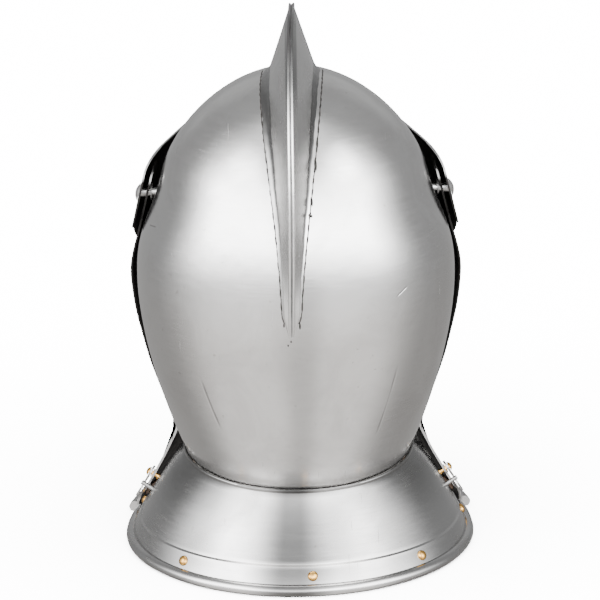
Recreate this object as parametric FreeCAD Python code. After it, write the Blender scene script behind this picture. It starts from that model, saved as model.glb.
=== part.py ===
"""Close helmet: skull with comb, pivoted bevor and visor, riveted collars and swivel latches.

Millimetres. +Z is up, the face looks along -Y, +X is the wearer's left. Z = 0 is the collar's rim.
"""

import math
import os

import FreeCAD
import Part

V = FreeCAD.Vector

os.makedirs("parts", exist_ok=True)

# ---- driving dimensions ----
PLATE = 1.1  # thickness of the steel plates
PIVOT_Y = 14.0  # the hinge line runs along X through here
PIVOT_Z = 235.4
LOBE_R = 27.0  # round end of each visor arm
ARM_R = 20.0  # round end of each bevor arm
BOLT_R = 3.0
FIT = 0.05  # radial clearance of a pin in its hole

SKULL_HALF = 104.6  # half width at the widest level
SKULL_LEVEL = 185.0  # height of the widest level
SKULL_RISE = 135.5  # from there to the crown
SKULL_MID = PIVOT_Y + 25.0
SKULL_FRONT = 132.0
SKULL_REAR = 95.0
BEVOR_FOOT = 69.8  # lower edge of the bevor, inside the front collar

COMB_RIDGE = 1.9  # half width of the comb's rounded ridge
COMB_HOLLOW = 1.3  # exponent of its flanks: 1 is straight, more is hollower

RIM_ROLL = 3.5  # radius of the rolled rim
RIM_Z = 3.2  # its centre line; the roll is filed flat at Z = 0
RIVET_R = 2.9  # head of a brass collar rivet


def export(shape, node):
    shape.exportStep("parts/" + node + ".step")


def at_pivot(y, z):
    """A point of the side view given from the hinge line, in the part's frame."""
    return y + PIVOT_Y, z + PIVOT_Z


def polar(angle, radius):
    """Side-view point at an angle above the forward direction, from the hinge line."""
    a = math.radians(angle)
    return at_pivot(-radius * math.cos(a), radius * math.sin(a))


def signed_power(value, power):
    return math.copysign(abs(value) ** power, value)


def oval(z, half, front, rear, mid, point, flat, count=40):
    """Closed plan section: half width, front and rear ends, and the two exponents."""
    points = []
    for i in range(count):
        t = 2 * math.pi * (i + 0.5) / count
        u = signed_power(math.cos(t), 2 / flat)
        depth = (mid - front) if u > 0 else (rear - mid)
        x = half * signed_power(math.sin(t), 2 / point)
        points.append(V(x, mid - u * depth, z))
    curve = Part.BSplineCurve()
    curve.interpolate(points, PeriodicFlag=True)
    return Part.Wire([curve.toShape()])


def egg(sections):
    return Part.makeLoft(sections, True, False)


def scaled_about(shape, centre, factors):
    """A copy stretched about a centre, used for the inside of a plate."""
    m = FreeCAD.Matrix()
    m.A11, m.A22, m.A33 = factors
    m.A14 = centre.x * (1 - factors[0])
    m.A24 = centre.y * (1 - factors[1])
    m.A34 = centre.z * (1 - factors[2])
    return shape.transformGeometry(m)


def side_prism(points, half=160.0, smooth=()):
    """Side-view outline (y, z) drawn along X. Runs listed in smooth become curves."""
    vectors = [V(-half, y, z) for y, z in points]
    edges = []
    i = 0
    spans = {a: b for a, b in smooth}
    while i < len(vectors):
        j = spans.get(i, i + 1)
        run = [vectors[k % len(vectors)] for k in range(i, j + 1)]
        if len(run) > 2:
            curve = Part.BSplineCurve()
            curve.interpolate(run)
            edges.append(curve.toShape())
        else:
            edges.append(Part.LineSegment(run[0], run[1]).toShape())
        i = j
    face = Part.Face(Part.Wire(edges))
    return face.extrude(V(2 * half, 0, 0))


def x_cylinder(radius, y, z, x0, x1):
    return Part.makeCylinder(radius, x1 - x0, V(x0, y, z), V(1, 0, 0))


def mirrored(shape):
    return shape.mirror(V(0, 0, 0), V(1, 0, 0))


def largest(shape):
    return max(shape.Solids, key=lambda s: s.Volume)


# ---- skull ----
def skull_half(z):
    """Half width at a height: an egg, a little flat where the pivots sit."""
    if z >= SKULL_LEVEL:
        u = (z - SKULL_LEVEL) / SKULL_RISE
        flat = 0.05 * math.exp(-(((u - 0.42) / 0.17) ** 2))
        return SKULL_HALF * math.sqrt(max(1 - u * u, 0)) * (1 - flat)
    return SKULL_HALF - 0.00724 * (SKULL_LEVEL - z) ** 1.73


def skull_front(z):
    u = max((z - SKULL_LEVEL) / SKULL_RISE, 0.0)
    return SKULL_MID - SKULL_FRONT * (1 - u**2.8) ** (1 / 2.2)


def skull_rear(z):
    if z >= SKULL_LEVEL:
        u = (z - SKULL_LEVEL) / SKULL_RISE
        return SKULL_MID + SKULL_REAR * math.sqrt(max(1 - u * u, 0))
    return SKULL_MID + SKULL_REAR - 0.0068 * (SKULL_LEVEL - z) ** 1.73


SKULL_LEVELS = (40, 60, 80, 104, 130, 158, 185, 208, 228, 246, 261, 274, 286, 297, 306, 313, 317.5, 319.8)


def skull_egg():
    sections = []
    for z in SKULL_LEVELS:
        sections.append(oval(z, skull_half(z), skull_front(z), skull_rear(z), SKULL_MID, 2.0, 2.0))
    return egg(sections)


skull_solid = skull_egg()
skull_centre = V(0, SKULL_MID, SKULL_LEVEL)


def skull_grown(by):
    """The skull's outer form, bigger by a distance (smaller if negative)."""
    rise = 1 + by / SKULL_RISE
    return scaled_about(skull_solid, skull_centre, (1 + by / SKULL_HALF, 1 + by / 110.0, rise))


brow_line = [at_pivot(-26, -20), at_pivot(-44, 6), at_pivot(-68, 26), at_pivot(-94, 38), at_pivot(-150, 44)]
skull_outline = (
    [(PIVOT_Y + 150, 54), (PIVOT_Y + 92, 54), at_pivot(-17, -172), at_pivot(-18, -130)]
    + [at_pivot(-19, -90), at_pivot(-22, -52)]
    + brow_line
    + [at_pivot(-150, 140), at_pivot(150, 140)]
)
skull_trim = side_prism(skull_outline, smooth=((2, 10),))
skull_shell = skull_solid.cut(skull_grown(-PLATE)).common(skull_trim)
pivot_hole = x_cylinder(BOLT_R + FIT, PIVOT_Y, PIVOT_Z, -160, 160)
skull_shell = largest(skull_shell.cut(pivot_hole))


# ---- comb: a hollow blade welded on along the middle ----
def skull_radius(angle):
    """Distance from the hinge line to the skull's middle profile."""
    low, high = 60.0, 150.0
    for _ in range(40):
        r = 0.5 * (low + high)
        y, z = polar(angle, r)
        inside = z < SKULL_LEVEL + SKULL_RISE and skull_front(z) < y < skull_rear(z)
        low, high = (r, high) if inside else (low, r)
    return r


COMB_HEIGHTS = (
    # angle above forward, height of the ridge over the skull, half width of the base
    (44, -3.0, 4.0),
    (58, 1.0, 5.5),
    (68, 3.5, 8.0),
    (76, 8.5, 11.5),
    (82, 17.5, 14.5),
    (88, 30.0, 17.0),
    (94, 39.5, 18.4),
    (100, 43.5, 19.0),
    (110, 43.5, 19.2),
    (124, 39.0, 19.0),
    (140, 31.5, 17.6),
    (156, 23.0, 15.4),
    (172, 15.0, 12.4),
    (186, 8.5, 9.2),
    (198, 3.5, 6.0),
    (208, -3.0, 3.4),
)


def comb_section(angle, height, base, inset):
    """Section across the comb in the half plane at an angle: concave flanks to a narrow ridge."""
    r0 = skull_radius(angle)
    foot = r0 - 9.0
    top = r0 + height - inset
    half_ridge = COMB_RIDGE - inset * 0.9
    half_base = base - inset
    a = math.radians(angle)

    def point(x, r):
        return V(x, PIVOT_Y - r * math.cos(a), PIVOT_Z + r * math.sin(a))

    rise = []
    for i in range(9):
        s = i / 8
        x = half_ridge + (half_base - half_ridge) * (1 - s) ** COMB_HOLLOW
        rise.append((x, r0 - 1.5 + (top - r0 + 1.5) * s))
    left = [point(-x, r) for x, r in rise]
    right = [point(x, r) for x, r in reversed(rise)]
    edges = []
    for run in (left, right):
        curve = Part.BSplineCurve()
        curve.interpolate(run)
        edges.append(curve.toShape())
    top_edge = Part.LineSegment(left[-1], right[0]).toShape()
    low_left = point(-half_base, foot)
    low_right = point(half_base, foot)
    return Part.Wire(
        [
            edges[0],
            top_edge,
            edges[1],
            Part.LineSegment(right[-1], low_right).toShape(),
            Part.LineSegment(low_right, low_left).toShape(),
            Part.LineSegment(low_left, left[0]).toShape(),
        ]
    )


COMB_WALL = 1.2
comb_outer = Part.makeLoft([comb_section(a, h, b, 0.0) for a, h, b in COMB_HEIGHTS], True, False)
hollow_rows = [row for row in COMB_HEIGHTS if row[1] > 3.0]
comb_inner = Part.makeLoft([comb_section(a, h, b, COMB_WALL) for a, h, b in hollow_rows], True, False)
comb = largest(comb_outer.cut(skull_grown(0.05)).cut(comb_inner))


# ---- bevor: chin, throat and the arms up to the pivots ----
BEVOR_MID = PIVOT_Y + 5.0
BEVOR = (
    # height, half width, front end from the hinge line
    (40, 70.0, -52.0),
    (55, 76.0, -56.0),
    (70, 82.5, -61.0),
    (88, 90.0, -68.5),
    (106, 96.5, -80.5),
    (120, 101.0, -101.0),
    (136, 104.8, -118.0),
    (153, 108.3, -127.0),
    (170, 110.3, -132.0),
    (187, 110.4, -132.5),
    (204, 106.5, -127.5),
    (220, 102.1, -122.0),
    (235.4, 98.4, -118.0),
    (252, 93.8, -113.0),
    (268, 90.0, -106.0),
    (282, 85.0, -99.0),
)
bevor_egg = egg([oval(z, w, PIVOT_Y + f, PIVOT_Y + 106, BEVOR_MID, 1.8, 2.2) for z, w, f in BEVOR])
bevor_inner = scaled_about(
    bevor_egg,
    V(0, BEVOR_MID, 150),
    (1 - PLATE / 109.5, 1 - PLATE / 130.0, 1 - PLATE / 110.0),
)
bevor_outline = [
    at_pivot(9, -18),
    at_pivot(4, -60),
    at_pivot(1, -110),
    at_pivot(2.5, -150),
    (PIVOT_Y + 2.5, BEVOR_FOOT),
    (PIVOT_Y - 90, BEVOR_FOOT),
    (PIVOT_Y - 175, BEVOR_FOOT),
    at_pivot(-175, -40),
    at_pivot(-126, -40),
    at_pivot(-98, -34),
    at_pivot(-70, -22),
    at_pivot(-46, -8),
    at_pivot(-20, 9),
]
bevor_trim = side_prism(bevor_outline, smooth=((0, 4), (8, 12)))
arm = x_cylinder(ARM_R, PIVOT_Y - 4, PIVOT_Z, -160, 160)
bevor_shell = bevor_egg.cut(bevor_inner).common(bevor_trim.fuse(arm))
bevor_shell = largest(bevor_shell.cut(pivot_hole))


# ---- visor: brow, sights, prow with breaths, and the arms outside the bevor's ----
VISOR_MID = PIVOT_Y - 5.0
VISOR = (
    # height, half width, front end and middle from the hinge line, and the plan's two exponents
    (140, 113.0, -134.0, -5, 1.6, 3.8),
    (152, 114.2, -137.0, -5, 1.6, 3.8),
    (165, 114.6, -142.0, -5, 1.6, 3.8),
    (181, 114.2, -149.5, -5, 1.6, 3.8),
    (196, 112.2, -155.5, -5, 1.6, 3.8),
    (210, 109.0, -158.2, -5, 1.6, 3.8),
    (224, 105.6, -158.4, -5, 1.6, 3.8),
    (235.4, 102.9, -156.5, -3, 1.66, 3.5),
    (242, 101.2, -153.0, 3, 1.72, 3.1),
    (248, 99.6, -149.0, 10, 1.8, 2.7),
    (254, 97.8, -143.0, 18, 1.88, 2.35),
    (259.5, 95.0, -137.0, 23, 1.95, 2.15),
    (264, 91.6, -131.0, 25, 2.0, 2.0),
    (269, 86.8, -122.5, 25, 2.0, 2.0),
    (275, 81.6, -111.0, 25, 2.0, 2.0),
    (281, 77.2, -98.5, 25, 2.0, 2.0),
    (287, 72.4, -88.5, 25, 2.0, 2.0),
    (295, 65.5, -77.5, 25, 2.0, 2.0),
    (304, 56.0, -66.5, 25, 2.0, 2.0),
    (312, 45.5, -55.0, 25, 2.0, 2.0),
)
visor_egg = egg([oval(z, w, PIVOT_Y + f, PIVOT_Y + 106, PIVOT_Y + m, p, q) for z, w, f, m, p, q in VISOR])
visor_inner = scaled_about(
    visor_egg,
    V(0, VISOR_MID, 190),
    (1 - PLATE / 110.0, 1 - PLATE / 145.0, 1 - PLATE / 110.0),
)
visor_outline = [
    at_pivot(-4, 24),
    at_pivot(-22, 27.5),
    at_pivot(-46, 42),
    at_pivot(-72, 56),
    at_pivot(-90, 62),
    at_pivot(-190, 62),
    at_pivot(-190, -71),
    at_pivot(-141, -71),
    at_pivot(-112, -68),
    at_pivot(-72, -52),
    at_pivot(-32, -33),
    at_pivot(-4, -24),
]
visor_trim = side_prism(visor_outline, smooth=((0, 4), (7, 11)))
lobe = x_cylinder(LOBE_R, PIVOT_Y - 5, PIVOT_Z + 2, -160, 160)
visor_shell = visor_egg.cut(visor_inner).common(visor_trim.fuse(lobe))
visor_shell = largest(visor_shell.cut(pivot_hole))

# ---- helpers for things set on a plate ----
def frame_on(shape, start, direction):
    """Where a ray first meets a shape, and the surface's outward normal there."""
    hit = Part.makeLine(start, start + direction * 260).common(shape)
    point = min((v.Point for v in hit.Vertexes), key=lambda p: p.distanceToPoint(start))
    probe = Part.Vertex(point)
    face = min(shape.Faces, key=lambda f: f.distToShape(probe)[0])
    u, v = face.Surface.parameter(point)
    normal = face.normalAt(u, v)
    if normal.dot(direction) > 0:
        normal = normal * -1
    return point, normal


def set_on(shape, point, normal):
    """A shape made upright at the origin, moved to a point with its +Z along the normal."""
    placed = shape.copy()
    placed.Placement = FreeCAD.Placement(point, FreeCAD.Rotation(V(0, 0, 1), normal))
    return placed


def dome(radius, height):
    """A low domed head: a slice of a ball standing on Z = 0."""
    ball = (radius * radius + height * height) / (2 * height)
    sphere = Part.makeSphere(ball, V(0, 0, height - ball))
    return sphere.common(Part.makeCylinder(radius + 1, height + 1, V(0, 0, 0)))


def rivet(radius, height, depth, shank):
    head = dome(radius, height).translated(V(0, 0, 0.05))
    pin = Part.makeCylinder(shank, depth + 0.1, V(0, 0, -depth))
    burr = Part.makeCylinder(shank * 1.5, 0.6, V(0, 0, -depth - 0.6))
    return head.fuse([pin, burr])


# ---- collars: flared plates with a stepped border and a rolled rim ----
REAR_FLARE = (
    # height, half width, depth behind the middle
    (69, 79.7, 71.2),
    (66, 78.5, 70.0),
    (63, 77.9, 69.0),
    (58, 80.4, 67.6),
    (50, 86.6, 70.2),
    (40, 93.4, 75.7),
    (30, 99.9, 82.6),
    (22, 104.9, 88.7),
    (17.5, 107.7, 92.3),
    (16, 109.5, 94.5),
    (10, 112.3, 98.6),
    (5, 114.3, 101.5),
    (2.5, 115.1, 102.8),
)
FRONT_FLARE = (
    # height, half width, front end from the hinge line
    (78, 87.7, -66.9),
    (72, 85.5, -64.2),
    (67, 85.3, -63.8),
    (62, 87.0, -65.5),
    (56, 89.9, -69.0),
    (48, 93.7, -74.0),
    (39, 98.6, -80.5),
    (30, 103.6, -87.0),
    (22, 108.4, -93.6),
    (17.5, 111.2, -97.6),
    (16, 113.0, -99.8),
    (10, 115.6, -103.6),
    (5, 117.5, -106.2),
    (2.5, 118.3, -107.4),
)
FLARE_WALL = 1.8  # measured level, through a plate that slopes


def rear_oval(z, half, depth, inset=0.0):
    front = SKULL_MID - 140.0
    return oval(z, half - inset, front + inset, SKULL_MID + depth - inset, SKULL_MID, 2.0, 2.0)


def front_oval(z, half, front, inset=0.0):
    return oval(z, half - inset, PIVOT_Y + front + inset, PIVOT_Y + 140, BEVOR_MID, 1.9, 2.1)


def flare(section, rows, inset):
    """Solid bounded by the flared side, with short ends so that a cut passes right through."""
    wires = [section(z, a, b, inset) for z, a, b in rows]
    return Part.makeLoft(wires, True, True)


def flare_plate(section, rows, inset, wall):
    inner_rows = [(rows[0][0] + 2, rows[0][1], rows[0][2])] + list(rows[:])
    inner_rows += [(rows[-1][0] - 4, rows[-1][1], rows[-1][2])]
    return flare(section, rows, inset).cut(flare(section, inner_rows, inset + wall))


def rolled_rim(wire, radius):
    start = wire.Edges[0].valueAt(wire.Edges[0].FirstParameter)
    along = wire.Edges[0].tangentAt(wire.Edges[0].FirstParameter)
    ring = Part.Wire([Part.Circle(start, along, radius).toShape()])
    return wire.makePipeShell([ring], True, False)


REAR_EDGE = -17.0  # front edge of the rear collar, from the hinge line
FRONT_EDGE = -4.0  # rear edge of the front collar
rear_trim = side_prism(
    [
        (PIVOT_Y + 150, -10),
        (PIVOT_Y + 150, 57),
        (PIVOT_Y + 92, 58),
        (PIVOT_Y + REAR_EDGE, 68.5),
        (PIVOT_Y + REAR_EDGE, 14),
        (PIVOT_Y + REAR_EDGE + 7, 9),
        (PIVOT_Y + REAR_EDGE + 7, -10),
    ]
)
rear_roll = rolled_rim(rear_oval(RIM_Z, 115.0, 102.5), RIM_ROLL)
roll_trim = Part.makeBox(400, 300, 30, V(-200, PIVOT_Y + REAR_EDGE + 7, 0))
rear_collar = flare_plate(rear_oval, REAR_FLARE, 0.0, FLARE_WALL).common(rear_trim)
rear_collar = rear_collar.fuse(rear_roll.common(roll_trim))
rear_collar = rear_collar.common(Part.makeBox(400, 400, 100, V(-200, -200, 0)))

front_trim = side_prism(
    [
        (PIVOT_Y - 200, -10),
        (PIVOT_Y - 200, 76.5),
        (PIVOT_Y + FRONT_EDGE, 76.5),
        (PIVOT_Y + FRONT_EDGE, 22),
        (PIVOT_Y + REAR_EDGE + 2, 9),
        (PIVOT_Y + REAR_EDGE + 2, -10),
    ]
)
front_roll = rolled_rim(front_oval(RIM_Z, 118.2, -107.2), RIM_ROLL)
front_roll_trim = Part.makeBox(400, 300, 30, V(-200, PIVOT_Y + REAR_EDGE + 2 - 300, 0))
front_collar = flare_plate(front_oval, FRONT_FLARE, 0.0, FLARE_WALL).common(front_trim)
front_collar = front_collar.fuse(front_roll.common(front_roll_trim))
front_collar = front_collar.common(Part.makeBox(400, 400, 100, V(-200, -200, 0)))

# leather strips under the riveted borders
LINING = 1.5
lining_band = Part.makeBox(400, 400, 7.5, V(-200, -200, 7.5))
rear_lining = flare_plate(rear_oval, REAR_FLARE, FLARE_WALL + 0.1, LINING * 1.3)
rear_lining_trim = Part.makeBox(400, 300, 100, V(-200, PIVOT_Y + REAR_EDGE + 9, 0))
rear_lining = rear_lining.common(lining_band).common(rear_lining_trim)
front_lining = flare_plate(front_oval, FRONT_FLARE, FLARE_WALL + 0.1, LINING * 1.3)
front_lining_trim = Part.makeBox(400, 300, 100, V(-200, PIVOT_Y + REAR_EDGE - 2 - 300, 0))
front_lining = front_lining.common(lining_band).common(front_lining_trim)


def border_rivets(plate, lining, section_mid, spots):
    """Brass rivets through a border and its lining, at angles round the collar's middle."""
    rivets = []
    for angle in spots:
        a = math.radians(angle)
        inward = V(math.sin(a), -math.cos(a), 0)
        start = V(0, section_mid, 12.5) - inward * 200
        point, normal = frame_on(plate, start, inward)
        pin = set_on(Part.makeCylinder(1.3 + FIT, 12, V(0, 0, -8)), point, normal)
        plate = plate.cut(pin)
        lining = lining.cut(pin)
        seated = set_on(rivet(RIVET_R, 2.0, 3.6, 1.3), point, normal).cut(plate)
        rivets.append(largest(seated.cut(lining)))
    return plate, lining, rivets


# angles from straight back, positive towards the wearer's left
REAR_SPOTS = (-107, -47, 4.5, 49, 94)
rear_collar, rear_lining, rear_rivets = border_rivets(rear_collar, rear_lining, SKULL_MID, REAR_SPOTS)
FRONT_SPOTS = (-150, -115, -180, 115, 150)
front_collar, front_lining, front_rivets = border_rivets(
    front_collar, front_lining, BEVOR_MID, FRONT_SPOTS
)

# steel rivets that hold the front collar to the bevor
JOINT_Z = 73.2
joint_rivets = []
for angle in (-158, -110, 110, 158):
    a = math.radians(angle)
    inward = V(math.sin(a), -math.cos(a), 0)
    point, normal = frame_on(front_collar, V(0, BEVOR_MID, JOINT_Z) - inward * 200, inward)
    pin = set_on(Part.makeCylinder(1.4 + FIT, 14, V(0, 0, -9)), point, normal)
    front_collar = front_collar.cut(pin)
    bevor_shell = bevor_shell.cut(pin)
    seated = set_on(rivet(2.8, 0.9, 4.2, 1.4), point, normal)
    joint_rivets.append(largest(seated.cut([front_collar, bevor_shell])))


# ---- swivel latches on the front collar, with their studs on the rear collar ----
LATCH_Z = 30.0
LATCH_BACK = -11.0
LEAF = 21.0  # rivet to the leaf's tip
SLOT_AT = 15.0  # rivet to the slot that takes the stud
LEAF_LIFT = 1.1
LEAF_THICK = 1.5


def latch_parts(collar):
    """The left latch: its rivet and the leaf, which hangs down the slope of the collar."""
    point, normal = frame_on(collar, V(200, PIVOT_Y + LATCH_BACK, LATCH_Z), V(-1, 0, 0))
    down = V(0, 0, -1)
    down = (down - normal * normal.dot(down)).normalize()
    back = normal.cross(down)
    if back.y < 0:
        back = back * -1

    def spot(d, b, h):
        return point + down * d + back * b + normal * h

    outline = [
        spot(-5.0, 0.0, 0.0),
        spot(-3.4, 3.6, 0.0),
        spot(0.0, 4.6, 0.0),
        spot(4.5, 3.4, 0.0),
        spot(8.0, 2.6, 0.0),
        spot(12.0, 4.2, 0.0),
        spot(16.5, 5.2, 0.0),
        spot(20.0, 3.2, 0.0),
        spot(LEAF, 0.0, 0.0),
        spot(20.0, -3.2, 0.0),
        spot(16.5, -5.2, 0.0),
        spot(12.0, -4.2, 0.0),
        spot(8.0, -2.6, 0.0),
        spot(4.5, -3.4, 0.0),
        spot(0.0, -4.6, 0.0),
        spot(-3.4, -3.6, 0.0),
    ]
    curve = Part.BSplineCurve()
    curve.interpolate([p + normal * LEAF_LIFT for p in outline], PeriodicFlag=True)
    leaf = Part.Face(Part.Wire([curve.toShape()])).extrude(normal * LEAF_THICK)
    leaf = leaf.cut(set_on(Part.makeCylinder(1.6 + FIT, 20, V(0, 0, -5)), point, normal))
    for turn in range(0, 43, 3):
        a = math.radians(turn)
        slot_at = spot(SLOT_AT * math.cos(a), SLOT_AT * math.sin(a), 0.0)
        leaf = leaf.cut(set_on(Part.makeCylinder(1.9, 20, V(0, 0, -5)), slot_at, normal))
    head = dome(3.4, 2.2).translated(V(0, 0, LEAF_LIFT + LEAF_THICK + 0.3))
    pin = Part.makeCylinder(1.6, 7.1, V(0, 0, -4.0))
    collar_washer = Part.makeCylinder(3.2, LEAF_LIFT - 0.3, V(0, 0, 0.0))
    burr = Part.makeCylinder(2.4, 0.7, V(0, 0, -4.6))
    pivot = set_on(head.fuse([pin, burr, collar_washer]), point, normal)
    collar = collar.cut(set_on(Part.makeCylinder(1.6 + FIT, 20, V(0, 0, -10)), point, normal))
    pivot = pivot.cut(collar)
    return collar, leaf, pivot, point, normal, down, back


front_collar, leaf_left, latch_rivet_left, latch_point, latch_normal, latch_down, latch_back = latch_parts(
    front_collar
)
front_collar = front_collar.cut(
    mirrored(set_on(Part.makeCylinder(1.6 + FIT, 20, V(0, 0, -10)), latch_point, latch_normal))
)
LATCH_SWING = 78.0
swing = math.radians(LATCH_SWING)
stud_line = latch_down * math.cos(swing) + latch_back * math.sin(swing)
stud_start = latch_point + stud_line * SLOT_AT + latch_normal * 12
stud_base, stud_normal = frame_on(rear_collar, stud_start, latch_normal * -1)
stud_reach = (latch_point - stud_base).dot(latch_normal) + LEAF_LIFT + LEAF_THICK + 0.9
stud = Part.makeCylinder(1.5, stud_reach + 3.0, V(0, 0, -3.0))
stud = set_on(stud, stud_base, latch_normal)
stud_hole = set_on(Part.makeCylinder(1.5 + FIT, 20, V(0, 0, -10)), stud_base, latch_normal)
rear_collar = rear_collar.cut([stud_hole, mirrored(stud_hole)])

# ---- pivot bolts, in the visor's arms ----
bolt_point, bolt_normal = frame_on(visor_egg, V(200, PIVOT_Y, PIVOT_Z), V(-1, 0, 0))
NUT_X = 82.4  # outer face of the nut, inside the skull
bolt_head = dome(6.2, 2.5).translated(V(0, 0, -0.6))
bolt_head.Placement = FreeCAD.Placement(bolt_point, FreeCAD.Rotation(V(0, 0, 1), bolt_normal))
bolt_head = bolt_head.cut(scaled_about(visor_egg, V(0, VISOR_MID, 190), (1.0007, 1.0, 1.0)))
shank = x_cylinder(BOLT_R, PIVOT_Y, PIVOT_Z, NUT_X - 0.4, bolt_point.x + 1.2)
bolt_left = largest(bolt_head).fuse(shank)
nut = Part.makeBox(4.0, 11, 11, V(NUT_X, PIVOT_Y - 5.5, PIVOT_Z - 5.5))
nut = nut.cut(x_cylinder(BOLT_R + 0.02, PIVOT_Y, PIVOT_Z, 60, 120))
spacer = x_cylinder(5.5, PIVOT_Y, PIVOT_Z, 94.55, 95.65)
spacer = spacer.cut(x_cylinder(BOLT_R + FIT, PIVOT_Y, PIVOT_Z, 60, 120))

# ---- sights, breaths and lifting peg of the visor ----
SIGHT_LENGTH = 48
for side in (-1, 1):
    sight = Part.makeBox(SIGHT_LENGTH, 120, 5.5)
    sight = sight.translated(V(12 if side > 0 else -12 - SIGHT_LENGTH, PIVOT_Y - 180, 273.5))
    visor_shell = visor_shell.cut(sight)
breaths = []
for row in range(3):
    for column in range(6):
        x = 20 + 8.5 * column + 3.0 * (row % 2)
        z = PIVOT_Z - 12 - 11 * row - 1.2 * column
        hole = Part.makeCylinder(2.6, 120, V(x, PIVOT_Y - 180, z), V(0, 1, 0))
        breaths += [hole, mirrored(hole)]
visor_shell = largest(visor_shell.cut(breaths))
peg_start = V(-200, PIVOT_Y - 112, PIVOT_Z - 14)
peg_point, peg_normal = frame_on(visor_shell, peg_start, V(1, 0, 0))
peg_hole = set_on(Part.makeCylinder(2.0 + FIT, 20, V(0, 0, -10)), peg_point, peg_normal)
visor_shell = visor_shell.cut(peg_hole)
peg = Part.makeCylinder(2.0, 15.0, V(0, 0, -3.0))
peg = peg.fuse([Part.makeSphere(4.2, V(0, 0, 13.5)), Part.makeCylinder(4.0, 1.2, V(0, 0, 0.35))])
peg = set_on(peg, peg_point, peg_normal)

# ---- padded lining and its leather band inside the skull ----
BAND_THICK = 3.3
PAD_THICK = 9.0
pad_outer = -PLATE - BAND_THICK - 0.7
pad_trim = side_prism(
    [
        (PIVOT_Y + 140, 150),
        (PIVOT_Y + 140, 340),
        (PIVOT_Y - 140, 340),
        (PIVOT_Y - 140, 272),
        (PIVOT_Y - 60, 268),
        (PIVOT_Y - 10, 252),
        (PIVOT_Y + 12, 244),
        (PIVOT_Y + 15, 200),
        (PIVOT_Y + 17, 150),
    ]
)
liner_pad = skull_grown(pad_outer).cut(skull_grown(pad_outer - PAD_THICK)).common(pad_trim)
band_trim = side_prism(
    [
        (PIVOT_Y + 140, 146),
        (PIVOT_Y + 140, 166),
        (PIVOT_Y + 10, 170),
        (PIVOT_Y + 10, 150),
    ]
)
liner_band = skull_grown(-PLATE - 0.3).cut(skull_grown(-PLATE - 0.3 - BAND_THICK)).common(band_trim)

export(largest(skull_shell), "skull_shell")
export(comb, "comb")
export(largest(rear_collar), "rear_collar_plate")
export(largest(rear_lining), "rear_collar_lining")
export(Part.makeCompound(rear_rivets), "rear_collar_rivets")
export(Part.makeCompound([stud, mirrored(stud)]), "latch_studs")
export(Part.makeCompound([spacer, mirrored(spacer)]), "pivot_spacers")
export(largest(liner_pad), "liner_pad")
export(largest(liner_band), "liner_band")
export(largest(bevor_shell), "bevor_shell")
export(largest(front_collar), "front_collar_plate")
export(largest(front_lining), "front_collar_lining")
export(Part.makeCompound(front_rivets), "front_collar_rivets")
export(Part.makeCompound(joint_rivets), "bevor_collar_rivets")
export(latch_rivet_left, "latch_rivet_left")
export(mirrored(latch_rivet_left), "latch_rivet_right")
export(largest(visor_shell), "visor_shell")
export(peg, "lifting_peg")
export(bolt_left, "pivot_bolt_left")
export(mirrored(bolt_left), "pivot_bolt_right")
export(nut, "pivot_nut_left")
export(mirrored(nut), "pivot_nut_right")
export(largest(leaf_left), "latch_left")
export(mirrored(largest(leaf_left)), "latch_right")
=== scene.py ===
import bisect
import math

import bmesh
import bpy
from mathutils import Matrix, Vector
from mathutils.bvhtree import BVHTree


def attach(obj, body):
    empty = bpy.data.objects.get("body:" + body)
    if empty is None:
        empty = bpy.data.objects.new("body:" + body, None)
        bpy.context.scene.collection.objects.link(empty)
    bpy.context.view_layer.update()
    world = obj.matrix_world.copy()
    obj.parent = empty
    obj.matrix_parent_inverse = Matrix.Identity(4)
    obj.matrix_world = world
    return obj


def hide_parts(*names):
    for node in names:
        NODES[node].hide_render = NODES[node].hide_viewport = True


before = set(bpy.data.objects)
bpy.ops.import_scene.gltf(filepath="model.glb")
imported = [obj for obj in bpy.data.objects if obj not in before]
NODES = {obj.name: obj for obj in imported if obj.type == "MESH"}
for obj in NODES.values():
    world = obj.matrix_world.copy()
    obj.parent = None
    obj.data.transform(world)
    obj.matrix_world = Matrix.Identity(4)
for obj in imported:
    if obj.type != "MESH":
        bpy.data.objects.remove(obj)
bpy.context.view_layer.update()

MM = 0.001
PIVOT = Vector((0.0, 0.014, 0.2354))  # the hinge line runs along X through here
SCENE = bpy.context.scene
SKULL_MID = 39.0  # y of the middle of the skull and of the rear collar's plan, in millimetres


# ---------------------------------------------------------------- camera
ELEVATION = math.radians(17.0)
DISTANCE = 1.3
TARGET = Vector((0.0, 0.052, 0.170))
ROLL = math.radians(-0.94)


def make_camera():
    data = bpy.data.cameras.new("camera")
    data.sensor_width = 36.0
    data.lens = 118.9
    data.shift_x = 0.006
    cam = bpy.data.objects.new("camera", data)
    SCENE.collection.objects.link(cam)
    cam.location = TARGET + DISTANCE * Vector((0.0, math.cos(ELEVATION), math.sin(ELEVATION)))
    aim = (TARGET - cam.location).to_track_quat("-Z", "Y").to_matrix().to_4x4()
    roll = Matrix.Rotation(ROLL, 4, "Z")
    cam.matrix_world = Matrix.Translation(cam.location) @ aim @ roll
    SCENE.camera = cam


make_camera()


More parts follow.
